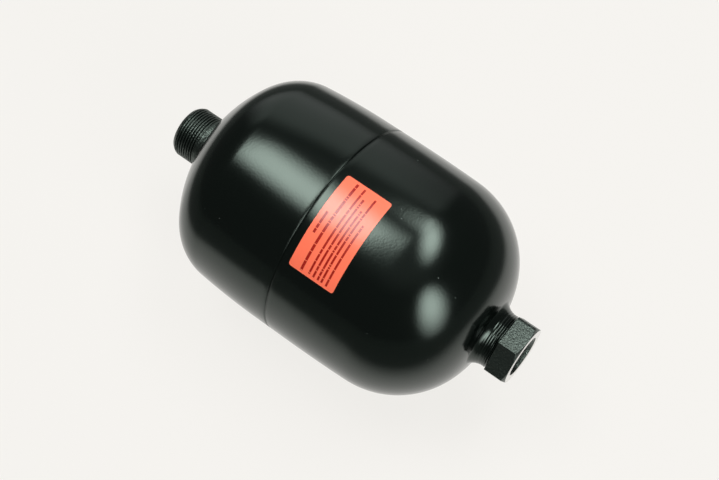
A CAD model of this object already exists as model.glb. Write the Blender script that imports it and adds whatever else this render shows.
# %% [markdown]
# # A bladder accumulator, lying on its side
#
# A bladder accumulator is a small steel pressure vessel. A rubber bag inside it holds
# gas, and oil enters through the port with the hexagon. The engineering model already
# exists, so this script never moves it: it loads the model as a fixed frame, and dresses
# it with finer meshes, finishes, lamps and a camera.
#
# Everything is in metres, with X along the vessel's axis and Z up.

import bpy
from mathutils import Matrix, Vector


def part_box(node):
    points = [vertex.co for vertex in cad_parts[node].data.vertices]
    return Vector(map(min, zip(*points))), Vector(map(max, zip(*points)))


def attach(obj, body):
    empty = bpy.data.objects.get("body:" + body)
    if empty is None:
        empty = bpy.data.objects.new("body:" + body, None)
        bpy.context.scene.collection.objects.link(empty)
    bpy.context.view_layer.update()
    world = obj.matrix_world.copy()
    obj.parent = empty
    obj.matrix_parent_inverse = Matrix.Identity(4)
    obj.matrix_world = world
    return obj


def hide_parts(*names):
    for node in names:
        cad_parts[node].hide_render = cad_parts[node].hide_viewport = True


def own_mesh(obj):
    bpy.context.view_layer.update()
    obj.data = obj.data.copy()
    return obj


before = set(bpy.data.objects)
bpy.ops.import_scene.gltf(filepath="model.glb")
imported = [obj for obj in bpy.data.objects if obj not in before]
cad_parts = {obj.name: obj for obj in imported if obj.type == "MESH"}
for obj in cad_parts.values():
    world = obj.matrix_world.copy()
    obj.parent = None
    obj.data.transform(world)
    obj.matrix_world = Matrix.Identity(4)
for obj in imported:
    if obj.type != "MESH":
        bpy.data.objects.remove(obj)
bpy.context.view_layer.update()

# %% [markdown]
# ## The camera
#
# The object is long and round, so it shows best from above, at an angle to its axis. A
# camera can be placed by typing its position, but a target, two angles and a distance
# are easier to think about: walk round the object, look up or down, step back.

# %% The camera looks down at the vessel from the oil port's side
from math import asin, atan2, cos, exp, hypot, pi, radians, sin, sqrt, tan

import bpy
from mathutils import Matrix, Vector

MM = 0.001


def direction(azimuth, elevation):
    """Unit vector away from the object; azimuth 0 is the -Y side, 90 the +X side."""
    turn = radians(azimuth)
    rise = radians(elevation)
    return Vector((sin(turn) * cos(rise), -cos(turn) * cos(rise), sin(rise)))


def aim(thing, away):
    """Turns a camera or lamp so that its back faces a direction."""
    thing.rotation_mode = "QUATERNION"
    thing.rotation_quaternion = (-away).to_track_quat("-Z", "Y")


camera = bpy.data.objects.new("camera", bpy.data.cameras.new("camera"))
bpy.context.scene.collection.objects.link(camera)
bpy.context.scene.camera = camera
camera.data.sensor_width = 36
camera.data.lens = 64.9
look_at = Vector((-99.8 * MM, 2.4 * MM, 0))
VIEW_AZIMUTH = 37.2
VIEW_RISE = 63.57
VIEW_DISTANCE = 647 * MM
VIEW_TURN = radians(VIEW_AZIMUTH)
camera_back = direction(VIEW_AZIMUTH, VIEW_RISE)
camera.location = look_at + camera_back * VIEW_DISTANCE
aim(camera, camera_back)
camera.data.clip_start = 0.01
print("camera at", [round(c, 3) for c in camera.location])

# %% [markdown]
# ## Writing node trees as sums
#
# Blender's node trees can be drawn by hand or built by a script. In a script, every
# addition would take a node and two links, which hides the sum behind the wiring. The
# small class below wraps one socket. Python lets a class say what + or * means, so a
# line such as 1 - mask * 0.5 adds the Math nodes by itself.

# %% A value that flows through a tree, and the tree that makes its nodes
class Value:
    """One output socket, which can be used in sums."""

    def __init__(self, tree, socket):
        self.tree = tree
        self.socket = socket

    def calc(self, operation, *others):
        return self.tree.make("ShaderNodeMath", {"operation": operation}, [self, *others])

    def __add__(self, other):
        return self.calc("ADD", other)

    def __sub__(self, other):
        return self.calc("SUBTRACT", other)

    def __mul__(self, other):
        return self.calc("MULTIPLY", other)

    def __truediv__(self, other):
        return self.calc("DIVIDE", other)

    def __pow__(self, other):
        return self.calc("POWER", other)

    def __rsub__(self, other):
        return self.tree.make("ShaderNodeMath", {"operation": "SUBTRACT"}, [other, self])

    def __neg__(self):
        return 0 - self

    __radd__ = __add__
    __rmul__ = __mul__


class Tree:
    """A node tree under construction."""

    def __init__(self, nodes_tree):
        self.tree = nodes_tree
        self.tree.nodes.clear()

    def make(self, kind, settings=None, inputs=(), output=0):
        """Adds a node: its settings first, then its sockets, by place, name or identifier."""
        node = self.tree.nodes.new(kind)
        for name, setting in (settings or {}).items():
            setattr(node, name, setting)
        places = inputs.items() if isinstance(inputs, dict) else enumerate(inputs)
        for place, value in places:
            if value is not None:
                self.feed(self.socket(node.inputs, place), value)
        return Value(self, self.socket(node.outputs, output)) if node.outputs else node

    def socket(self, sockets, place):
        if isinstance(place, int):
            return sockets[place]
        return next(s for s in sockets if place in (s.identifier, s.name))

    def feed(self, socket, value):
        if isinstance(value, Value):
            self.tree.links.new(value.socket, socket)
        else:
            socket.default_value = value

    def split(self, vector):
        """The three numbers of a vector."""
        parts = self.make("ShaderNodeSeparateXYZ", inputs=[vector])
        return [Value(self, s) for s in parts.socket.node.outputs]

    def join(self, x, y, z):
        return self.make("ShaderNodeCombineXYZ", inputs=[x, y, z])

    def fade(self, value, start, end, low=0.0, high=1.0):
        """Smooth change from low to high as a value passes from start to end."""
        return self.make("ShaderNodeMapRange", {"interpolation_type": "SMOOTHSTEP"},
                         [value, start, end, low, high])

    def noise(self, vector, scale, detail=2.0, roughness=0.5):
        return self.make("ShaderNodeTexNoise", inputs={
            "Vector": vector, "Scale": scale, "Detail": detail, "Roughness": roughness})


print("Value and Tree are ready")

# %% [markdown]
# ## A finish
#
# Each finish on the object is one material with the same skeleton: a Principled shader,
# fed by patterns that are measured in the object's own metres. Object coordinates don't
# stretch or slide, because every finished piece keeps its place in its mesh. The helper
# below makes the skeleton, so that each finish only has to say what is special about it.

# %% A material with patterns in the object's own coordinates
class Finish(Tree):
    """A material around one Principled shader."""

    def __init__(self, name):
        self.material = bpy.data.materials.new(name)
        self.material.use_nodes = True
        super().__init__(self.material.node_tree)
        self.place = self.make("ShaderNodeTexCoord", output="Object")

    def mix(self, share, first, second):
        """Colour between two others."""
        return self.make("ShaderNodeMix", {"data_type": "RGBA"}, {
            "Factor_Float": share, "A_Color": first, "B_Color": second}, "Result_Color")

    def bump(self, height, depth, below=None):
        """Surface relief: a height of 1 stands that many metres proud."""
        return self.make("ShaderNodeBump", inputs={
            "Strength": 1.0, "Distance": depth, "Height": height, "Normal": below})

    def shade(self, **sockets):
        """Closes the tree with a Principled shader; names use _ for a space."""
        shader = self.make("ShaderNodeBsdfPrincipled", inputs={
            name.replace("_", " "): value for name, value in sockets.items()})
        self.make("ShaderNodeOutputMaterial", inputs={"Surface": shader})
        return self.material


def colour(red, green, blue):
    """A colour from its plain light levels, with full alpha."""
    return (red, green, blue, 1)


print("Finish is ready")

# %% [markdown]
# ## The pale floor
#
# Glossy black paint has hardly any colour of its own: it shows the room. So the floor
# and the lamps come before the paint.
#
# The floor is pale close to the object and falls off further away, as a table does in
# a pool of light. A spotlight could make that pool, but it would show in the paint too.
# Here the floor's own tone changes with the distance from a box-shaped pool, which is
# turned to face the camera. Part of what the eye sees is an even colour, added for
# camera, glossy and transmission rays alike. The rest is lit, so that the floor keeps
# the object's soft shadow.

# %% The pale floor
FLOOR_COLOUR = colour(0.922, 0.905, 0.871)
FLOOR_FAR = colour(0.15, 0.16, 0.15)
FLOOR_EVEN_SHARE = 0.92
FLOOR_EVEN_LEVEL = 0.975
POOL_SIDE = 0.20
POOL_WIDENS = 0.12
POOL_NEAR = -0.115
POOL_BACK = 0.20
POOL_FADE = 0.10


def floor_finish():
    look = Finish("pale_floor")
    x, y, _ = look.split(look.place)
    side = (x - look_at.x) * cos(VIEW_TURN) + (y - look_at.y) * sin(VIEW_TURN)
    depth = (y - look_at.y) * cos(VIEW_TURN) - (x - look_at.x) * sin(VIEW_TURN)
    past_side = side.calc("ABSOLUTE") - depth * POOL_WIDENS - POOL_SIDE
    past_side = past_side.calc("MAXIMUM", 0.0)
    past_end = (POOL_NEAR - depth).calc("MAXIMUM", depth - POOL_BACK).calc("MAXIMUM", 0.0)
    away = (past_side * past_side + past_end * past_end) ** 0.5
    ray = look.make("ShaderNodeLightPath")
    kinds = {s.name: Value(look, s) for s in ray.socket.node.outputs}
    seen = kinds["Is Camera Ray"] + kinds["Is Glossy Ray"] + kinds["Is Transmission Ray"]
    tone = look.mix(look.fade(away, 0.0, POOL_FADE), FLOOR_COLOUR, FLOOR_FAR)
    lit = look.make("ShaderNodeBsdfDiffuse", inputs={"Color": tone})
    even = look.make("ShaderNodeEmission", inputs={
        "Color": tone, "Strength": FLOOR_EVEN_LEVEL})
    both = look.make("ShaderNodeMixShader", inputs=[seen * FLOOR_EVEN_SHARE, lit, even])
    look.make("ShaderNodeOutputMaterial", inputs={"Surface": both})
    return look.material


def flat_disc(name, radius, height, sides):
    """A level disc, as one face."""
    turns = [2 * pi * i / sides for i in range(sides)]
    mesh = bpy.data.meshes.new(name)
    mesh.from_pydata([(radius * cos(t), radius * sin(t), height) for t in turns], [],
                     [list(range(sides))])
    thing = bpy.data.objects.new(name, mesh)
    bpy.context.scene.collection.objects.link(thing)
    return thing


floor = flat_disc("floor", 30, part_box("gas_shell_half")[0].z, 96)
floor.data.materials.append(floor_finish())

# %% [markdown]
# ## Soft boxes
#
# Each lamp draws one of the long, soft highlights that make a round black vessel
# readable. Studios use soft boxes for this: wide cloth fronts that are brightest in the
# middle. An area lamp is evenly bright up to a hard edge, so each lamp here has a small
# node tree of its own that fades it out towards its sides.
#
# Three soft boxes hang over the object: over the gas end, over the port and behind.
# One more stands beyond the port, and a wide dim wall stands at the back. Seen from
# above, the three overlap in places. Area lamps that overlap in one plane hide each
# other there, so each hangs a few centimetres higher or lower than the next.

# %% Soft boxes and a dim wall
def soft_box(name, place, width, height, brightness, away, soft=(0.3, 0.3), roll=0.0,
             oval=False):
    """A lamp with soft edges; brightness 1 looks white. Its back faces away. soft is the
    share of each half that fades out: across and along, or only outwards for an oval."""
    lamp = bpy.data.lights.new(name, "AREA")
    lamp.shape = "RECTANGLE"
    lamp.size = width
    lamp.size_y = height
    lamp.energy = brightness * pi * width * height
    lamp.use_nodes = True
    glow = Tree(lamp.node_tree)
    u, v, _ = glow.split(glow.make("ShaderNodeNewGeometry", output="Parametric"))
    across = (u * 2 - 1).calc("ABSOLUTE")
    along = (v * 2 - 1).calc("ABSOLUTE")
    if oval:
        level = glow.fade((across * across + along * along) ** 0.5, 1.0, 1.0 - soft[0])
    else:
        level = glow.fade(across, 1.0, 1.0 - soft[0]) * glow.fade(along, 1.0, 1.0 - soft[1])
    glow.make("ShaderNodeOutputLight", inputs={"Surface": glow.make(
        "ShaderNodeEmission", inputs={"Color": colour(1, 1, 1), "Strength": level})})
    holder = bpy.data.objects.new(name, lamp)
    bpy.context.scene.collection.objects.link(holder)
    holder.location = place
    aim(holder, away)
    holder.rotation_quaternion @= Matrix.Rotation(radians(roll), 4, "Z").to_quaternion()
    holder.visible_camera = False
    return holder


UP = Vector((0, 0, 1))
soft_box("box_over_gas_end", (-0.548, -0.10, 1.08), 0.60, 0.94, 9.2, UP, (0.25, 0.9), -14)
soft_box("box_over_port", (0.115, 0.415, 1.06), 1.20, 0.64, 9.6, UP, (0.88, 0.88), -60, True)
soft_box("box_behind", (-0.185, 0.60, 1.03), 0.27, 0.64, 3.4, UP, (0.5, 0.7))
soft_box("box_beyond_port", (0.877, -0.385, 0.575), 0.78, 1.50, 8.8, direction(68, 0),
         (0.88, 0.88), 0, True)
soft_box("dim_wall", (-1.10, 1.40, 0.75), 2.5, 2.2, 0.66, direction(218, 18), (0.7, 0.6))

# %% [markdown]
# ## A dark room
#
# Where the paint shows no lamp, it shows the room. The room is nearly dark, with a
# brighter ceiling, so that the vessel's top doesn't go quite black. A picture of a real
# room would work as well, but one fade between two levels is easier to set.

# %% A dark room with a brighter ceiling
world = bpy.data.worlds.new("room")
bpy.context.scene.world = world
world.use_nodes = True
room = Tree(world.node_tree)
ROOM_LEVEL = 0.085
CEILING_LEVEL = 0.26
_, _, up = room.split(room.make("ShaderNodeTexCoord", output="Generated"))
light_level = room.fade(up, 0.70, 0.97, ROOM_LEVEL, CEILING_LEVEL)
room.make("ShaderNodeOutputWorld", inputs={"Surface": room.make(
    "ShaderNodeBackground", inputs={"Color": colour(1, 1, 1), "Strength": light_level})})
print("room light goes from", ROOM_LEVEL, "to", CEILING_LEVEL)

# %% [markdown]
# ## Turned pieces
#
# Nearly every piece here was turned on a lathe or drawn to a round shape, so one maker
# serves them all. It takes an outline of (x, radius) points and spins it about X.
# Blender's Spin operator would do the same, but it leaves doubled points and can turn
# the faces inside out. Writing the rings directly keeps every face pointing outwards.
# Every piece here has a hole along its axis, so its last ring joins up with its first.

# %% A lathe in code
SMOOTH_BELOW = radians(28)


def even_turns(count):
    return [2 * pi * i / count for i in range(count)]


def turn_piece(name, outline, turns):
    """Mesh object spun about X from a closed outline, which runs with the solid on its
    right-hand side, seen with +x to the right and the radius up. An x or a radius may be
    a function of the turn, which is 0 towards -Y and a quarter circle towards +Z."""
    points, rings, faces = [], [], []
    for x, radius in outline:
        rings.append(range(len(points), len(points) + len(turns)))
        for t in turns:
            size = radius(t) if callable(radius) else radius
            along = x(t) if callable(x) else x
            points.append((along, -size * cos(t), size * sin(t)))
    for near, far in zip(rings, rings[1:] + rings[:1]):
        for i in range(len(turns)):
            j = (i + 1) % len(turns)
            faces.append([near[i], far[i], far[j], near[j]])
    mesh = bpy.data.meshes.new(name)
    mesh.from_pydata(points, [], faces)
    mesh.shade_smooth()
    mesh.set_sharp_from_angle(angle=SMOOTH_BELOW)
    piece = bpy.data.objects.new(name, mesh)
    bpy.context.scene.collection.objects.link(piece)
    return piece


def settle(piece, body, slot, finish, *nodes):
    """Gives a finished piece its material, its body, its slot and what it stands for."""
    if not piece.data.materials:
        piece.data.materials.append(finish)
    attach(piece, body)
    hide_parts(*nodes)
    piece.data.calc_loop_triangles()
    print(piece.name, "has", len(piece.data.loop_triangles), "triangles")
    return piece


def line(start, end, steps):
    """Places along a straight stretch, without its last point."""
    return [(start[0] + (end[0] - start[0]) * i / steps,
             start[1] + (end[1] - start[1]) * i / steps) for i in range(steps)]


def arc(along, radius, size, start, end, steps):
    """Places on an arc about (along, radius); angles turn from outward to +x."""
    turns = [start + (end - start) * i / steps for i in range(steps + 1)]
    return [(along + size * sin(t), radius + size * cos(t)) for t in turns]


print("the lathe is ready")

# %% [markdown]
# ## Rules that reshape a mesh
#
# Threads and weld ripples follow a rule: the same groove or wave again and again along
# a path. Geometry Nodes are made for that. Each rule below is a small node tree with
# named sizes, so one thread cutter serves the stub outside and the port inside. A piece
# runs through its rule once and is kept as a plain mesh.

# %% A Geometry Nodes rule
class Rule(Tree):
    """A geometry tree with named sizes, which ends in real geometry with a material."""

    def __init__(self, name, *sizes):
        group = bpy.data.node_groups.new(name, "GeometryNodeTree")
        super().__init__(group)
        group.interface.new_socket("Mesh", in_out="INPUT", socket_type="NodeSocketGeometry")
        group.interface.new_socket("Finish", in_out="INPUT", socket_type="NodeSocketMaterial")
        for size in sizes:
            group.interface.new_socket(size, in_out="INPUT", socket_type="NodeSocketFloat")
        group.interface.new_socket("Mesh", in_out="OUTPUT", socket_type="NodeSocketGeometry")
        entry = self.make("NodeGroupInput").socket.node
        self.given = {s.name: Value(self, s) for s in entry.outputs if s.name}

    def where(self):
        """Place along the axis, distance from it, and the turn about it in whole turns."""
        x, y, z = self.split(self.make("GeometryNodeInputPosition"))
        turn = z.calc("ARCTAN2", -y) / (2 * pi)
        return x, (y * y + z * z) ** 0.5, turn, y, z

    def move_to_radius(self, mesh, radius):
        """Moves each point straight out from the axis, or in."""
        x, old, _, y, z = self.where()
        place = self.join(x, y / old * radius, z / old * radius)
        return self.make("GeometryNodeSetPosition", inputs={
            "Geometry": mesh, "Position": place})

    def close(self, mesh):
        real = self.make("GeometryNodeRealizeInstances", inputs=[mesh])
        dressed = self.make("GeometryNodeSetMaterial", inputs={
            "Geometry": real, "Material": self.given["Finish"]})
        self.make("NodeGroupOutput", inputs=[dressed])

    def run(self, piece, finish, sizes, smooth_below=SMOOTH_BELOW):
        """Gives the rule its sizes, runs it on a piece and keeps the plain result."""
        modifier = piece.modifiers.new(self.tree.name, "NODES")
        modifier.node_group = self.tree
        for item in self.tree.interface.items_tree:
            if item.in_out == "INPUT" and item.name == "Finish":
                modifier[item.identifier] = finish
            if item.in_out == "INPUT" and item.name in sizes:
                modifier[item.identifier] = sizes[item.name]
        ready = piece.evaluated_get(bpy.context.evaluated_depsgraph_get())
        mesh = bpy.data.meshes.new_from_object(ready)
        piece.modifiers.remove(modifier)
        piece.data = mesh
        mesh.shade_smooth()
        mesh.set_sharp_from_angle(angle=smooth_below)
        return piece


print("Rule is ready")

# %% [markdown]
# ## The vessel's paint
#
# The vessel is sprayed with black enamel. Its colour is almost nothing, a little green;
# the rest is reflection, tinted the same way. Sprayed paint never dries flat: it keeps
# an orange peel about a millimetre across, which frays the edges of every highlight.
# Painting the peel as light and dark spots would look flat as soon as the light moves,
# so it is relief alone. Dust in the wet paint leaves small nibs. They stand proud too,
# and are a little greyer than the paint.

# %% Black enamel with orange peel and nibs
PAINT = colour(0.0016, 0.0026, 0.0021)
PAINT_SHEEN = colour(0.80, 1.0, 0.88)
PEEL_PER_METRE = 1000
WAVES_PER_METRE = PEEL_PER_METRE / 9
NIBS_PER_METRE = 160
DUSTY_PATCHES_PER_METRE = 45
HAZE_PER_METRE = 60
GRAIN_PER_METRE = 900
PEEL_DEPTH = 0.000019
NIB_DEPTH = 0.00012
DUST = colour(0.11, 0.13, 0.12)


def enamel(name, roughness, peel=1.0, grain_depth=0.0, ior=1.5):
    """Black enamel; peel scales its orange peel, grain adds a rough base below it."""
    look = Finish(name)
    skin = look.noise(look.place, PEEL_PER_METRE, 1.0)
    wave = look.noise(look.place, WAVES_PER_METRE, 1.0)
    relief = look.bump(skin + wave, PEEL_DEPTH * peel)
    cells = look.make("ShaderNodeTexVoronoi", inputs={
        "Vector": look.place, "Scale": NIBS_PER_METRE, "Randomness": 1.0})
    pick = look.noise(look.place, DUSTY_PATCHES_PER_METRE, 1.0)
    nib = look.fade(cells, 0.052, 0.02) * look.fade(pick, 0.54, 0.60)
    relief = look.bump(nib, NIB_DEPTH, relief)
    if grain_depth:
        grain = look.noise(look.place, GRAIN_PER_METRE, 1.0, 0.6)
        relief = look.bump(grain, grain_depth, relief)
    haze = look.noise(look.place, HAZE_PER_METRE, 3.0)
    return look.shade(
        Base_Color=look.mix(nib, PAINT, DUST), Roughness=roughness + (haze - 0.5) * 0.05,
        IOR=ior, Specular_Tint=PAINT_SHEEN, Normal=relief)


vessel_paint = enamel("vessel_paint", 0.15)
print("vessel_paint is ready")

# %% [markdown]
# ## The two halves of the vessel
#
# Each half began as a flat steel disc that a press drew into a cup: a nearly straight
# barrel, a knuckle and a flatter crown, each an arc that runs smoothly into the next.
# A scaled sphere would look similar, but its wall would be uneven. So the outline is
# worked out from those arcs, with the wall's inner skin parallel to it, and spun.

# %% The outline of a drawn head
WALL = 5 * MM
BAND = 10 * MM
VESSEL_TURNS = even_turns(256)
vessel_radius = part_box("fluid_shell_half")[1].y
seam_x = (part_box("seam_weld")[0].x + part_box("seam_weld")[1].x) / 2
seam_half = (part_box("seam_weld")[1].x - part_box("seam_weld")[0].x) / 2


class Head:
    """One closed end's outline, as arcs from the seam outwards. side is +1 or -1."""

    def __init__(self, side, barrel_length, barrel_radius, knuckle, crown):
        self.side = side
        self.barrel_radius = barrel_radius
        self.knuckle = knuckle
        self.crown = crown
        self.tilt = asin(barrel_length / barrel_radius)
        reach = barrel_radius - knuckle
        self.knuckle_at = BAND + reach * sin(self.tilt)
        self.knuckle_r = vessel_radius - barrel_radius + reach * cos(self.tilt)
        self.crown_at = self.knuckle_at - sqrt((crown - knuckle) ** 2 - self.knuckle_r ** 2)
        self.crown_turn = atan2(self.knuckle_at - self.crown_at, self.knuckle_r)

    def place(self, points):
        return [(seam_x + self.side * along, radius) for along, radius in points]

    def barrel_at(self, along, depth=0.0):
        """Radius of the skin at a distance from the seam, on the band or the barrel."""
        past = max(0.0, along - BAND)
        size = self.barrel_radius - depth
        return vessel_radius - self.barrel_radius + sqrt(size ** 2 - past ** 2)

    def crown_x(self, radius, depth=0.0):
        along = self.crown_at + sqrt((self.crown - depth) ** 2 - radius ** 2)
        return seam_x + self.side * along

    def skin(self, depth, start, hole, steps=1):
        """Skin from a distance past the seam to a hole in the crown. More steps make
        it finer."""
        top = vessel_radius - depth
        crown = self.crown - depth
        end = pi / 2 - asin(hole / crown)
        centre = vessel_radius - self.barrel_radius
        parts = line((start, top), (BAND, top), 2 * steps)
        parts += arc(BAND, centre, self.barrel_radius - depth, 0, self.tilt, 8 * steps)[:-1]
        parts += arc(self.knuckle_at, self.knuckle_r, self.knuckle - depth,
                     self.tilt, self.crown_turn, 18 * steps)[:-1]
        parts += arc(self.crown_at, 0, crown, self.crown_turn, end, 14 * steps)
        return self.place(parts)


fluid_head = Head(1, 36.2 * MM, 874 * MM, 46.9 * MM, 112 * MM)
gas_head = Head(-1, 35.2 * MM, 393 * MM, 27.8 * MM, 76 * MM)
print("crowns at", round(fluid_head.crown_x(0), 4), round(gas_head.crown_x(0), 4))

# %% [markdown]
# ## The gas half
#
# The edges of both halves are turned square before welding, and the weld's heat rounds
# them a little. That small lip catches the light along both sides of the seam. A Bevel
# modifier could round it, but it would round every edge of the cup alike, so the lip
# is a quarter circle in the outline.

# %% The gas half, with a lip beside the seam
GAS_LIP = 0.12 * MM
LIP_DEPTH = 0.45 * MM
STUB_COLLAR = 13.7 * MM


def lip(side, size):
    """Rounded edge of a half beside the seam, from the groove up to the skin."""
    centre = seam_half + size
    turns = [pi / 2 * (1 - i / 5) for i in range(6)]
    bend = [(centre - size * sin(t), vessel_radius - size + size * cos(t)) for t in turns]
    deep = [(seam_half, vessel_radius - LIP_DEPTH)]
    return [(seam_x + side * along, radius) for along, radius in deep + bend]


def gas_half():
    skin = lip(-1, GAS_LIP) + gas_head.skin(0, seam_half + GAS_LIP, STUB_COLLAR, 2)[1:]
    lining = gas_head.skin(WALL, seam_half, STUB_COLLAR)
    return turn_piece("gas_cup", skin[::-1] + lining, VESSEL_TURNS)


settle(gas_half(), "vessel", "vessel_paint", vessel_paint, "gas_shell_half")

# %% [markdown]
# ## The oil half
#
# The oil side's crown is drawn out into a neck for the port, and the neck is turned to
# a hollow flare. The flare is one arc, and a short bend softens the place where it
# meets the crown. The turning tool left low ridges near the neck's end. A bump would be
# quicker, but ridges in the outline also show where the light grazes them.

# %% The oil half and its neck
OIL_LIP = 0.16 * MM
NECK_RADIUS = 14.4 * MM
NECK_FOOT = 17.8 * MM
NECK_SOFT = 0.7 * MM
TOOL_LINE = 0.2 * MM
TOOL_PITCH = 1.2 * MM
TOOL_COUNT = 4
FIT = 0.05 * MM
SHANK_RADIUS = 12 * MM
neck_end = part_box("port_weld")[0].x
hex_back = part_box("port_weld")[1].x


def bend(start, corner, end, steps):
    """Places along a smooth bend that starts and ends on the sides of a corner."""
    shares = [i / steps for i in range(steps + 1)]
    return [tuple(a * (1 - u) ** 2 + 2 * b * u * (1 - u) + c * u * u
                  for a, b, c in zip(start, corner, end)) for u in shares]


def tool_lines(x):
    """Low ridges that a lathe tool left near the neck's end, fading towards the crown."""
    past = (neck_end - x) / TOOL_PITCH
    fading = max(0.0, 1 - past / TOOL_COUNT)
    return abs(sin(past * pi)) * min(1.0, 2 * fading)


def oil_half():
    """The neck's flare is one arc: level with the neck at its end, and through the place
    where it meets the crown. The meeting is softened by a short bend."""
    bore = SHANK_RADIUS + FIT
    run = neck_end - fluid_head.crown_x(NECK_FOOT)
    rise = NECK_FOOT - NECK_RADIUS
    size = (run ** 2 + rise ** 2) / (2 * rise)
    turn_at_foot = pi + asin(run / size)
    flare = arc(neck_end, NECK_RADIUS + size, size, turn_at_foot - NECK_SOFT / size, pi, 60)
    flare = [(x, r + TOOL_LINE * tool_lines(x)) for x, r in flare]
    skin = lip(1, OIL_LIP) + fluid_head.skin(0, seam_half + OIL_LIP, NECK_FOOT + NECK_SOFT, 2)[1:]
    foot = (fluid_head.crown_x(NECK_FOOT), NECK_FOOT)
    lining = fluid_head.skin(WALL, seam_half, bore)
    outline = skin + bend(skin[-1], foot, flare[0], 8)[1:-1] + flare
    return turn_piece("oil_cup", outline + [(hex_back - FIT, bore)] + lining[::-1],
                      VESSEL_TURNS)


settle(oil_half(), "vessel", "vessel_paint", vessel_paint, "fluid_shell_half")

# %% [markdown]
# ## Welds
#
# A weld is laid down in small overlapping pools, so its crown carries fine ripples, and
# its height wanders a little where the welder slowed down. One rule makes all three
# beads: it lifts the middle of the bead by a wave that runs round it, and by a slow
# noise. Sculpting them by hand would look less even, and couldn't be changed later.

# %% The rule for weld ripples
def weld_rule():
    rule = Rule("weld_ripples", "Ripples", "Ripple height", "Wander", "Middle", "Half width")
    x, old, turn, y, z = rule.where()
    across = (x - rule.given["Middle"]) / rule.given["Half width"]
    inside = rule.fade(across * across, 1.0, 0.35)
    slow = rule.noise(rule.join(x * 30, y * 60, z * 60), 1.0, 2.0) - 0.5
    fine = rule.noise(rule.join(x * 200, y * 300, z * 300), 1.0, 2.0) - 0.5
    phase = (turn * rule.given["Ripples"] - across * across * 0.3 + slow * 3) * (2 * pi)
    lift = phase.calc("SINE") * 0.5 + fine
    height = lift * rule.given["Ripple height"] + slow * rule.given["Wander"]
    rule.close(rule.move_to_radius(rule.given["Mesh"], old + height * inside))
    return rule


weld_ripples = weld_rule()
weld_paint = enamel("weld_paint", 0.18, peel=1.5)
print("weld rule has", len(weld_ripples.tree.nodes), "nodes")

# %% [markdown]
# ## The mid seam
#
# The two halves meet edge to edge. Their bead fills the groove between them almost to
# the skin and sinks in its middle. Its outline is a smooth hollow across the groove,
# with steep sides down to the root, so that it reads as a narrow line round the vessel.

# %% The mid seam's bead
SEAM_ROOT = 0.5 * MM
SEAM_BELOW_SKIN = 0.02 * MM
SEAM_HOLLOW = 0.48 * MM
HOLLOW_SHARE = 0.42
SEAM_SIDES = 900


def seam():
    top = vessel_radius
    shares = [i / 14 - 1 for i in range(29)]
    crown = [(seam_x + seam_half * u,
              top - SEAM_BELOW_SKIN - SEAM_HOLLOW * exp(-(u / HOLLOW_SHARE) ** 2))
             for u in shares]
    edge = vessel_radius - LIP_DEPTH
    outline = [(seam_x - SEAM_ROOT, top - WALL), (seam_x - seam_half, edge)]
    outline += crown
    outline += [(seam_x + seam_half, edge), (seam_x + SEAM_ROOT, top - WALL)]
    piece = turn_piece("seam_bead", outline, even_turns(SEAM_SIDES))
    return weld_ripples.run(piece, weld_paint, {
        "Ripples": 330.0, "Ripple height": 0.07 * MM, "Wander": 0.18 * MM,
        "Middle": seam_x, "Half width": seam_half * 1.05})


settle(seam(), "vessel", "weld_paint", weld_paint, "seam_weld")

# %% [markdown]
# ## The bead behind the hexagon
#
# The port fitting is welded to the neck in two narrow passes, and each leaves a low
# ridge round the axis. Two rings could stand for them, but rings would cut into each
# other and into the neck. Two ridges in one outline stay one clean bead.

# %% The port's bead
BEAD_LOW = 13.9 * MM
PASS_HEIGHT = 0.32 * MM
BEAD_SIDES = 240


def port_bead():
    """Narrow passes between the hexagon and the neck, each a low ridge."""
    ridges = []
    for i in range(33):
        share = i / 32
        ridge = PASS_HEIGHT * abs(sin(share * 2 * pi))
        ridges.append((neck_end + (hex_back - neck_end) * share,
                       NECK_RADIUS + (BEAD_LOW - NECK_RADIUS) * share + ridge))
    root = [(hex_back, SHANK_RADIUS + FIT), (hex_back - FIT, SHANK_RADIUS + FIT)]
    piece = turn_piece("port_bead", ridges + root, even_turns(BEAD_SIDES))
    return weld_ripples.run(piece, weld_paint, {
        "Ripples": 70.0, "Ripple height": 0.05 * MM, "Wander": 0.25 * MM,
        "Middle": (neck_end + hex_back) / 2, "Half width": (hex_back - neck_end) * 0.6})


settle(port_bead(), "vessel", "weld_paint", weld_paint, "port_weld")

# %% [markdown]
# ## The fillet at the stub's foot
#
# Where the stub leaves the crown, the weld fills the corner with a hollow slope. A bevel
# on the corner would be straight or round, so a power of the distance bends the slope
# instead: steep at the crown and gentle at the collar.

# %% The stub's fillet
FILLET_LEG = 2.0 * MM
FILLET_SIDES = 300


def stub_fillet():
    """Hollow fillet between the stub's collar and the crown."""
    outer = STUB_COLLAR + FILLET_LEG
    low = gas_head.crown_x(STUB_COLLAR)
    foot = gas_head.crown_x(outer)
    top = low - FILLET_LEG
    face = [(top + (foot - top) * i / 12, STUB_COLLAR + (outer - STUB_COLLAR) * (i / 12) ** 1.5)
            for i in range(13)]
    piece = turn_piece("stub_bead", face + [(low, STUB_COLLAR)], even_turns(FILLET_SIDES))
    return weld_ripples.run(piece, weld_paint, {
        "Ripples": 80.0, "Ripple height": 0.10 * MM, "Wander": 0.3 * MM,
        "Middle": (top + foot) / 2, "Half width": (foot - top) * 0.5})


settle(stub_fillet(), "vessel", "weld_paint", weld_paint, "gas_stub_weld")

# %% [markdown]
# ## Threads
#
# A screw thread is one groove that climbs by its pitch on every turn. Modelling it as a
# swept cut is slow and often breaks. Here the piece is turned plain, with close rings
# where the thread goes, and the rule moves each point in or out: its place along the
# axis, plus its share of a turn, says how deep the groove is there.

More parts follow.
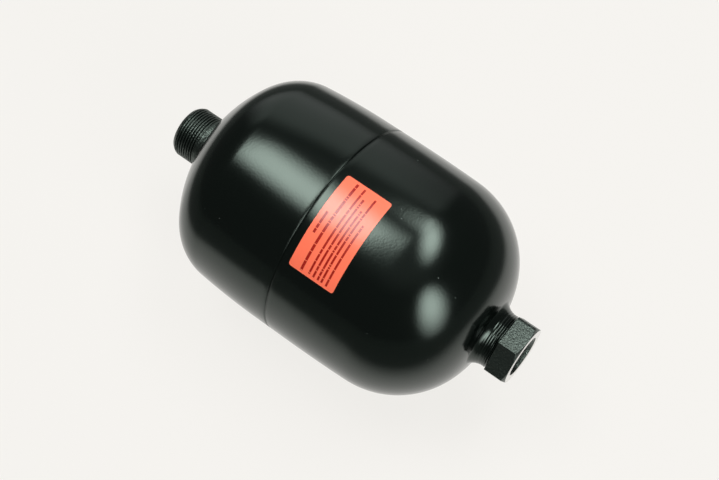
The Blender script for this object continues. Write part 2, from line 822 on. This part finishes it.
# %% The thread cutter
def thread_rule():
    rule = Rule("thread", "Pitch", "Crest", "Depth", "Start", "End", "Run out", "Least", "Most")
    x, old, turn, _, _ = rule.where()
    given = rule.given
    phase = x / given["Pitch"] + turn
    wave = (phase.calc("FRACT") - 0.5).calc("ABSOLUTE") * 2
    groove = rule.fade(wave, 0.30, 0.90)
    along = rule.fade(x, given["Start"] - given["Run out"], given["Start"])
    along = along * rule.fade(x, given["End"] + given["Run out"], given["End"])
    cut = given["Crest"] + given["Depth"] * groove * along
    near = rule.make("FunctionNodeCompare", {"data_type": "FLOAT", "operation": "GREATER_THAN"},
                     {"A": old, "B": given["Least"]}, "Result")
    far = rule.make("FunctionNodeCompare", {"data_type": "FLOAT", "operation": "LESS_THAN"},
                    {"A": old, "B": given["Most"]}, "Result")
    outside = old.calc("MINIMUM", cut)
    inside = old.calc("MAXIMUM", cut)
    sign = rule.fade(given["Depth"], -0.00001, 0.00001)
    chosen = outside + (inside - outside) * sign
    share = near * far
    rule.close(rule.move_to_radius(given["Mesh"], old + (chosen - old) * share))
    return rule


cut_thread = thread_rule()
fitting_paint = enamel("fitting_paint", 0.38, grain_depth=0.00030, ior=1.75)
print("thread rule has", len(cut_thread.tree.nodes), "nodes")

# %% [markdown]
# ## The gas stub
#
# The stub is one turned bar: thread and recess outside the vessel, a plain collar in
# its wall, and a flange and a spigot inside, which hold the bag. It could be several
# cylinders joined together, but joining leaves faces inside. One outline that goes
# round the whole bar has none.

# %% The gas stub
STUB_SIDES = 180
STUB_GROOVE = 0.92 * MM
CHAMFER_BULGE = 0.22 * MM
STUB_RADIUS = 14 * MM
STUB_CHAMFER = 1.8 * MM
STUB_CHAMFER_LENGTH = 2.9 * MM
STUB_PITCH = 1.5 * MM
STUB_THREAD = 15.6 * MM
STUB_THREAD_START = 2.2 * MM
RECESS_RADIUS = 8.8 * MM
RECESS_DEPTH = 7 * MM
FLANGE_RADIUS = 18 * MM
SPIGOT_RADIUS = 7 * MM
BORE_RADIUS = 2 * MM
SCREW_HOLE = 5 * MM
SCREW_HOLE_DEPTH = 13 * MM
stub_end, spigot_end = (corner.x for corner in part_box("gas_stub"))
flange_face = gas_head.crown_x(FLANGE_RADIUS, WALL)
flange_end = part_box("bladder")[0].x


def stub():
    """Everything in one turning: thread, collar, inner flange, spigot and bore."""
    thread_end = stub_end + STUB_THREAD
    floor_x = stub_end + RECESS_DEPTH
    soft = 0.3 * MM
    face = [(stub_end, RECESS_RADIUS + soft), (stub_end, STUB_RADIUS - STUB_CHAMFER - soft)]
    chamfer = []
    for i in range(25):
        share = i / 24
        bulge = CHAMFER_BULGE * sin(share * pi)
        chamfer.append((stub_end + 0.05 * MM + STUB_CHAMFER_LENGTH * share,
                        STUB_RADIUS - STUB_CHAMFER * (1 - share) + bulge))
    start = chamfer.pop()
    steps = int(STUB_THREAD / STUB_PITCH * 16)
    outside = line(start, (thread_end, STUB_RADIUS), steps)
    collar = [(thread_end + 0.3 * MM, STUB_COLLAR), (flange_face, STUB_COLLAR),
              (flange_face, FLANGE_RADIUS), (flange_end, FLANGE_RADIUS),
              (flange_end, SPIGOT_RADIUS), (spigot_end, SPIGOT_RADIUS)]
    bore = [(spigot_end, BORE_RADIUS), (floor_x + SCREW_HOLE_DEPTH, BORE_RADIUS),
            (floor_x + SCREW_HOLE_DEPTH, SCREW_HOLE), (floor_x, SCREW_HOLE),
            (floor_x, RECESS_RADIUS), (stub_end + soft, RECESS_RADIUS)]
    piece = turn_piece("threaded_stub", face + chamfer + outside + collar + bore,
                       even_turns(STUB_SIDES))
    return cut_thread.run(piece, fitting_paint, {
        "Pitch": STUB_PITCH, "Crest": STUB_RADIUS, "Depth": -STUB_GROOVE,
        "Start": stub_end + STUB_THREAD_START, "End": thread_end - 1.6 * STUB_PITCH,
        "Run out": STUB_PITCH,
        "Least": RECESS_RADIUS + 1 * MM, "Most": STUB_RADIUS + 0.1 * MM}, radians(50))


settle(stub(), "vessel", "fitting_paint", fitting_paint, "gas_stub")

# %% [markdown]
# ## The oil port
#
# The port is a hexagonal bar with a pipe thread inside and a shank that the neck holds.
# Its hexagon is turned with the same lathe: the radius there depends on the turn, as it
# does for a real bar in the chuck. The rings share one set of turns, with more of them
# at the corners, so that the corners get a small rounding under the paint.

# %% A hexagon for the lathe
def hexagon_radius(apothem, corner_turn, roundings):
    """Distance from the axis to the sides of a hexagon, as a function of the turn. Each of
    its corners has its own rounding, in the order of their turns."""
    def radius(turn):
        steps = (turn - corner_turn) / (pi / 3)
        corner = int(steps + 0.5 + 6) % 6
        rounding = roundings[corner]
        off = abs((turn - corner_turn + pi / 6) % (pi / 3) - pi / 6)
        centre = (apothem - rounding) / cos(pi / 6)
        tangent = atan2(rounding * sin(pi / 6), centre + rounding * cos(pi / 6))
        if off < tangent:
            return centre * cos(off) + sqrt(rounding ** 2 - (centre * sin(off)) ** 2)
        return apothem / cos(pi / 6 - off)

    return radius


def hexagon_turns(corner_turn, corner_span, corner_steps, side_steps):
    """Turns for a hexagonal piece: close together at the corners."""
    turns = []
    for corner in range(6):
        middle = corner_turn + corner * pi / 3
        turns += [middle + corner_span * (2 * i / corner_steps - 1) for i in range(corner_steps)]
        rest = pi / 3 - 2 * corner_span
        turns += [middle + corner_span + rest * i / side_steps for i in range(side_steps)]
    return turns


print("hexagon ready")

# %% [markdown]
# ## The port fitting
#
# One outline goes round the whole fitting again: shank, hexagon, mouth, pipe thread,
# the groove for the open ring, the guide's seat and the throat. A Boolean could cut the
# hole out of a bar, but it leaves long thin faces that shade badly next to a thread.

# %% The port fitting
HEX_APOTHEM = 15 * MM
HEX_CORNER = radians(65.5)
HEX_ROUNDINGS = [size * MM for size in (0.4, 2.6, 0.9, 0.9, 0.9, 0.6)]
HEX_EDGE = 0.2 * MM
HEX_CORNER_SPAN = radians(5.4)
HEX_CORNER_STEPS = 20
HEX_SIDE_STEPS = 24
HEX_FACE_RADIUS = 14.9 * MM
HEX_CHAMFER = radians(30)
PORT_PITCH = 25.4 / 14 * MM
PORT_MINOR = 9.32 * MM
PORT_MAJOR = 10.48 * MM
PORT_MOUTH = 10.75 * MM
PORT_THREAD = 15 * MM
PORT_RELIEF = 9.7 * MM
RING_GROOVE = 10.25 * MM
GUIDE_BORE = 9.2 * MM
THROAT = 8.2 * MM
SEAT = 2 * MM
fitting_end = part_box("port_fitting")[0].x
GUIDE_THICKNESS = 5 * MM
guide_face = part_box("valve_guide")[1].x
guide_back = guide_face - GUIDE_THICKNESS
ring_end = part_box("guide_retaining_ring")[1].x


def hexagon_outside():
    """The hexagon from its sharp back edge to its end face. The turned chamfer cuts deeper
    at the corners, so its edge is a wave: there x depends on the turn too."""
    flat = hexagon_radius(HEX_APOTHEM, HEX_CORNER, HEX_ROUNDINGS)

    def back(t):
        return (flat(t) - HEX_FACE_RADIUS) * tan(HEX_CHAMFER)

    def soft(t):
        return min(HEX_EDGE, 0.4 * back(t))

    return [
        (hex_back, lambda t: flat(t) - HEX_EDGE / 2),
        (hex_back + HEX_EDGE / 2, flat),
        (lambda t: -back(t) - HEX_EDGE, flat),
        (lambda t: -back(t) - HEX_EDGE / 3, lambda t: flat(t) - HEX_EDGE / 20),
        (lambda t: -back(t) + soft(t) * sin(HEX_CHAMFER),
         lambda t: flat(t) - soft(t) * cos(HEX_CHAMFER)),
        (lambda t: -soft(t) * sin(HEX_CHAMFER), lambda t: HEX_FACE_RADIUS + soft(t)),
        (0, HEX_FACE_RADIUS - 0.1 * MM),
    ]


def port():
    shank = [(fitting_end, GUIDE_BORE + 1 * MM), (fitting_end, SHANK_RADIUS),
             (hex_back, SHANK_RADIUS)]
    outside = hexagon_outside()
    mouth_depth = PORT_MOUTH - PORT_MINOR
    mouth = [(0, PORT_MOUTH + 0.15 * MM), (-0.05 * MM, PORT_MOUTH + 0.05 * MM)]
    steps = int(PORT_THREAD / PORT_PITCH * 16)
    thread = line((-mouth_depth, PORT_MINOR), (-PORT_THREAD, PORT_MINOR), steps)
    inside = [(-PORT_THREAD, PORT_MINOR), (-PORT_THREAD, PORT_RELIEF),
              (ring_end, PORT_RELIEF), (ring_end, RING_GROOVE), (guide_face, RING_GROOVE),
              (guide_face, GUIDE_BORE), (guide_back, GUIDE_BORE), (guide_back, THROAT),
              (fitting_end + SEAT, THROAT)]
    turns = hexagon_turns(HEX_CORNER, HEX_CORNER_SPAN, HEX_CORNER_STEPS, HEX_SIDE_STEPS)
    piece = turn_piece("port_hexagon", shank + outside + mouth + thread + inside, turns)
    return cut_thread.run(piece, fitting_paint, {
        "Pitch": PORT_PITCH, "Crest": PORT_MINOR, "Depth": PORT_MAJOR - PORT_MINOR,
        "Start": -PORT_THREAD + 1.5 * PORT_PITCH, "End": 0.0, "Run out": PORT_PITCH,
        "Least": PORT_MINOR - 0.05 * MM, "Most": PORT_MOUTH + 0.01 * MM}, radians(40))


port_hexagon = settle(port(), "vessel", "fitting_paint", fitting_paint, "port_fitting")

# %% [markdown]
# ## The bare ring round the port
#
# A hose's seal meets the flat ring at the port's end, so that ring is kept free of
# paint. Bare metal needs the same skeleton as paint, with Metallic at 1 and fine grain
# in its gloss. The ring belongs to the fitting's mesh, so it gets no mesh of its own:
# its faces are picked by their place, and take a second material.

# %% Bare metal on the sealing ring
def metal(name, tone, roughness):
    """Bare metal, with fine grain in its gloss and its surface."""
    look = Finish(name)
    grain = look.noise(look.place, GRAIN_PER_METRE, 3.0)
    return look.shade(Base_Color=tone, Metallic=1.0, Roughness=roughness + (grain - 0.5) * 0.15,
                      Normal=look.bump(grain, 0.000008))


port_hexagon.data.materials.append(metal("bare_face", colour(0.80, 0.79, 0.77), 0.22))
for face in port_hexagon.data.polygons:
    if face.center.x > -0.3 * MM and hypot(*face.center.yz) < HEX_FACE_RADIUS:
        face.material_index = 1
print("bare faces:", sum(face.material_index for face in port_hexagon.data.polygons))

# %% [markdown]
# ## The label
#
# The label is a thin vinyl film that follows the barrel's curve, with rounded corners.
# It is made as a flat grid first, and then each point is laid on the barrel, so its UV
# map stays the flat label. A Shrinkwrap modifier would lay it down too, but would
# stretch it a little where it curves.

# %% The label's film
LABEL_WIDTH = 25.4 * MM
LABEL_LENGTH = 50.8 * MM
LABEL_FROM_SEAM = 4.4 * MM
LABEL_TURN = radians(67.8)
LABEL_THICKNESS = 0.12 * MM
LABEL_CORNER = 1.3 * MM


def label_grid(rows, columns):
    """Places on the flat label, from -1 to 1 both ways, with its corners drawn in."""
    places = []
    for i in range(rows + 1):
        for j in range(columns + 1):
            s = (2 * i / rows - 1) * LABEL_WIDTH / 2
            t = (2 * j / columns - 1) * LABEL_LENGTH / 2
            a = abs(s) - (LABEL_WIDTH / 2 - LABEL_CORNER)
            b = abs(t) - (LABEL_LENGTH / 2 - LABEL_CORNER)
            if a > 0 and b > 0:
                reach = max(a, b) / hypot(a, b)
                s = (abs(s) - a + a * reach) * (1 if s > 0 else -1)
                t = (abs(t) - b + b * reach) * (1 if t > 0 else -1)
            places.append((s, t))
    return places


def label():
    rows, columns = 40, 80
    flat = label_grid(rows, columns)
    width = columns + 1
    points = []
    for lift in (LABEL_THICKNESS, 0.01 * MM):
        for s, t in flat:
            along = LABEL_FROM_SEAM + LABEL_WIDTH / 2 + s
            size = fluid_head.barrel_at(along) + lift
            turn = LABEL_TURN + t / vessel_radius
            points.append((seam_x + along, -size * cos(turn), size * sin(turn)))
    count = len(flat)
    faces = []
    for i in range(rows):
        for j in range(columns):
            a = i * width + j
            faces.append([a, a + width, a + width + 1, a + 1])
            faces.append([count + a, count + a + 1, count + a + width + 1, count + a + width])
    rim = list(range(columns))
    rim += [i * width + columns for i in range(rows)]
    rim += [rows * width + j for j in range(columns, 0, -1)]
    rim += [i * width for i in range(rows, 0, -1)]
    for a, b in zip(rim, rim[1:] + rim[:1]):
        faces.append([a, b, b + count, a + count])
    mesh = bpy.data.meshes.new("label_film")
    mesh.from_pydata(points, [], faces)
    chart = mesh.uv_layers.new(name="flat")
    for loop in mesh.loops:
        s, t = flat[loop.vertex_index % count]
        chart.data[loop.index].uv = (t / LABEL_LENGTH + 0.5, 0.5 - s / LABEL_WIDTH)
    mesh.shade_smooth()
    mesh.set_sharp_from_angle(angle=SMOOTH_BELOW)
    piece = bpy.data.objects.new("label_film", mesh)
    bpy.context.scene.collection.objects.link(piece)
    return piece


film = label()
print("label film has", len(film.data.polygons), "faces")

# %% [markdown]
# ## The label's print
#
# The print is plain dark bars on red vinyl, with no words. An image could hold them,
# but bars worked out in the material stay sharp at any size. A random number for each
# short stretch of a bar decides whether a gap ends it.

# %% Red vinyl with plain bars
LABEL_RED = colour(0.97, 0.180, 0.095)
LABEL_INK = colour(0.30, 0.006, 0.005)
BARS = [
    (0.125, 0.38, 0.61, 0.050), (0.270, 0.02, 0.975, 0.054), (0.437, 0.035, 0.97, 0.042),
    (0.536, 0.03, 0.88, 0.042), (0.634, 0.03, 0.78, 0.042), (0.717, 0.03, 0.94, 0.042),
    (0.824, 0.025, 0.68, 0.042)]
BLOTS_ALONG = 40.0


def label_finish():
    """Red vinyl with plain bars: each has its place across the label, its start and end
    along it and its thickness. Small gaps break the bars up."""
    look = Finish("label_vinyl")
    chart = look.make("ShaderNodeUVMap", {"uv_map": "flat"})
    along, down, _ = look.split(chart)
    across = 1 - down
    printed = 0.0
    for row, (middle, start, end, thickness) in enumerate(BARS):
        off = (across - middle).calc("ABSOLUTE")
        bar = look.fade(off, thickness / 2 + 0.004, thickness / 2 - 0.004)
        span = look.fade(along, start, start + 0.004) * look.fade(along, end, end - 0.004)
        cell = (along * BLOTS_ALONG).calc("FLOOR") + row * 53.0
        word = look.make("ShaderNodeTexWhiteNoise", {"noise_dimensions": "1D"}, {"W": cell})
        within = (along * BLOTS_ALONG).calc("FRACT")
        gap = look.fade(word, 0.70, 0.71) * look.fade(within, 0.28, 0.22)
        printed = bar * span * (1 - gap) + printed
    fine = look.noise(look.place, 2600.0, 1.0)
    ink = printed * look.fade(fine, 0.30, 0.60, 0.85, 1.0)
    tone = look.mix(ink, LABEL_RED, LABEL_INK)
    peel = look.noise(look.place, 700.0, 2.0)
    return look.shade(Base_Color=tone, Roughness=0.20, IOR=1.5,
                      Normal=look.bump(peel, 0.00002))


label_vinyl = label_finish()
settle(film, "vessel", "label_film", label_vinyl, "label_sticker")

# %% [markdown]
# ## The poppet's spring
#
# A compression spring is wound from round wire. Its first and last coils lie close, so
# that it stands square on its seats, and only the coils between them work. A Screw
# modifier keeps one pitch all the way, so it can't close the ends. A rule can: it lays
# a line of points along the path and sweeps a round wire along it.

# %% The rule for a coil
PATH_POINTS = 320
WIRE_SIDES = 14


def coil_rule():
    rule = Rule("coil_spring", "Start", "Length", "Coil radius", "Wire radius", "Turns")
    given = rule.given
    straight = rule.make("GeometryNodeCurvePrimitiveLine")
    path = rule.make("GeometryNodeResampleCurve", inputs={
        "Curve": straight, "Count": PATH_POINTS})
    turned = rule.make("GeometryNodeSplineParameter", output="Factor") * given["Turns"]
    closed = given["Wire radius"] * 2.1
    last = given["Turns"] - 1
    working = (given["Length"] - closed * 2) / (given["Turns"] - 2)
    x = given["Start"] + turned.calc("MINIMUM", 1.0) * closed
    x = x + (turned.calc("MINIMUM", last) - 1).calc("MAXIMUM", 0.0) * working
    x = x + (turned - last).calc("MAXIMUM", 0.0) * closed
    angle = turned * (2 * pi)
    place = rule.join(x, angle.calc("COSINE") * given["Coil radius"],
                      angle.calc("SINE") * given["Coil radius"])
    path = rule.make("GeometryNodeSetPosition", inputs={"Geometry": path, "Position": place})
    round_wire = rule.make("GeometryNodeCurvePrimitiveCircle", inputs={
        "Resolution": WIRE_SIDES, "Radius": given["Wire radius"]})
    rule.close(rule.make("GeometryNodeCurveToMesh", inputs={
        "Curve": path, "Profile Curve": round_wire, "Fill Caps": True}))
    return rule


wind_coil = coil_rule()
print("coil rule has", len(wind_coil.tree.nodes), "nodes")

# %% [markdown]
# ## The spring in its place
#
# The spring stands between the guide and the poppet's back. When the poppet slides by
# its stroke, that end of the spring goes with it, and the end at the guide stays. A
# spring that simply rode with either piece would cut into the other, so it is squashed
# towards the guide, to the length that the stroke leaves it.

# %% The poppet's spring
SPRING_WIRE = 0.4 * MM
SPRING_RADIUS = 5.6 * MM
SPRING_TURNS = 6.0

spring_steel = metal("spring_steel", colour(0.45, 0.44, 0.43), 0.28)
spring_low, spring_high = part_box("poppet_spring")
holder = bpy.data.objects.new("spring_coil", bpy.data.meshes.new("spring_coil"))
bpy.context.scene.collection.objects.link(holder)
spring = wind_coil.run(holder, spring_steel, {
    "Start": spring_low.x + SPRING_WIRE,
    "Length": spring_high.x - spring_low.x - 2 * SPRING_WIRE,
    "Coil radius": SPRING_RADIUS, "Wire radius": SPRING_WIRE, "Turns": SPRING_TURNS})
settle(spring, "vessel", "spring_steel", spring_steel, "poppet_spring")
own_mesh(spring)

# %% [markdown]
# ## Inner pieces keep their engineering shapes
#
# The rest of what lies inside is small and plain. It could be modelled again, but that
# would only repeat what the engineering model already holds. So the loaded shapes stay,
# and only get finishes: bare steel, plated steel, brass for the guide, and rubber.

# %% Steel, brass and rubber
def rubber(name, tone, roughness):
    """Matt rubber with a fine grain."""
    look = Finish(name)
    grain = look.noise(look.place, 1200.0, 2.0)
    return look.shade(Base_Color=tone, Roughness=roughness + (grain - 0.5) * 0.1,
                      Normal=look.bump(grain, 0.00001))


finishes = {
    "inner_steel": metal("inner_steel", colour(0.42, 0.41, 0.40), 0.42),
    "plated_steel": metal("plated_steel", colour(0.62, 0.61, 0.58), 0.30),
    "spring_steel": spring_steel,
    "guide_brass": metal("guide_brass", colour(0.72, 0.52, 0.25), 0.32),
    "bladder_rubber": rubber("bladder_rubber", colour(0.018, 0.018, 0.019), 0.62),
    "seal_rubber": rubber("seal_rubber", colour(0.012, 0.012, 0.013), 0.50),
}
node_finish = {
    "weld_backing_ring": "inner_steel", "valve_guide": "guide_brass",
    "guide_retaining_ring": "spring_steel", "poppet_valve": "inner_steel",
    "stop_washer": "plated_steel", "stop_nut": "plated_steel", "charging_screw": "plated_steel",
    "charging_screw_seal": "seal_rubber", "bladder": "bladder_rubber",
    "bladder_button": "inner_steel", "bladder_clamp_disc": "plated_steel",
    "bladder_clamp_nut": "plated_steel",
}
for name, kind in node_finish.items():
    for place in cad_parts[name].material_slots:
        place.material = finishes[kind]
print("inner pieces with a finish:", len(node_finish))

# %% [markdown]
# ## Sizes, and the end
#
# The dressed object should fill the same box as the engineering model. Both boxes are
# written to a file, so that they can be compared. The Standard view shows the colours
# as they were set, where a filmic view would soften them.

bpy.context.scene.view_settings.view_transform = "Standard"
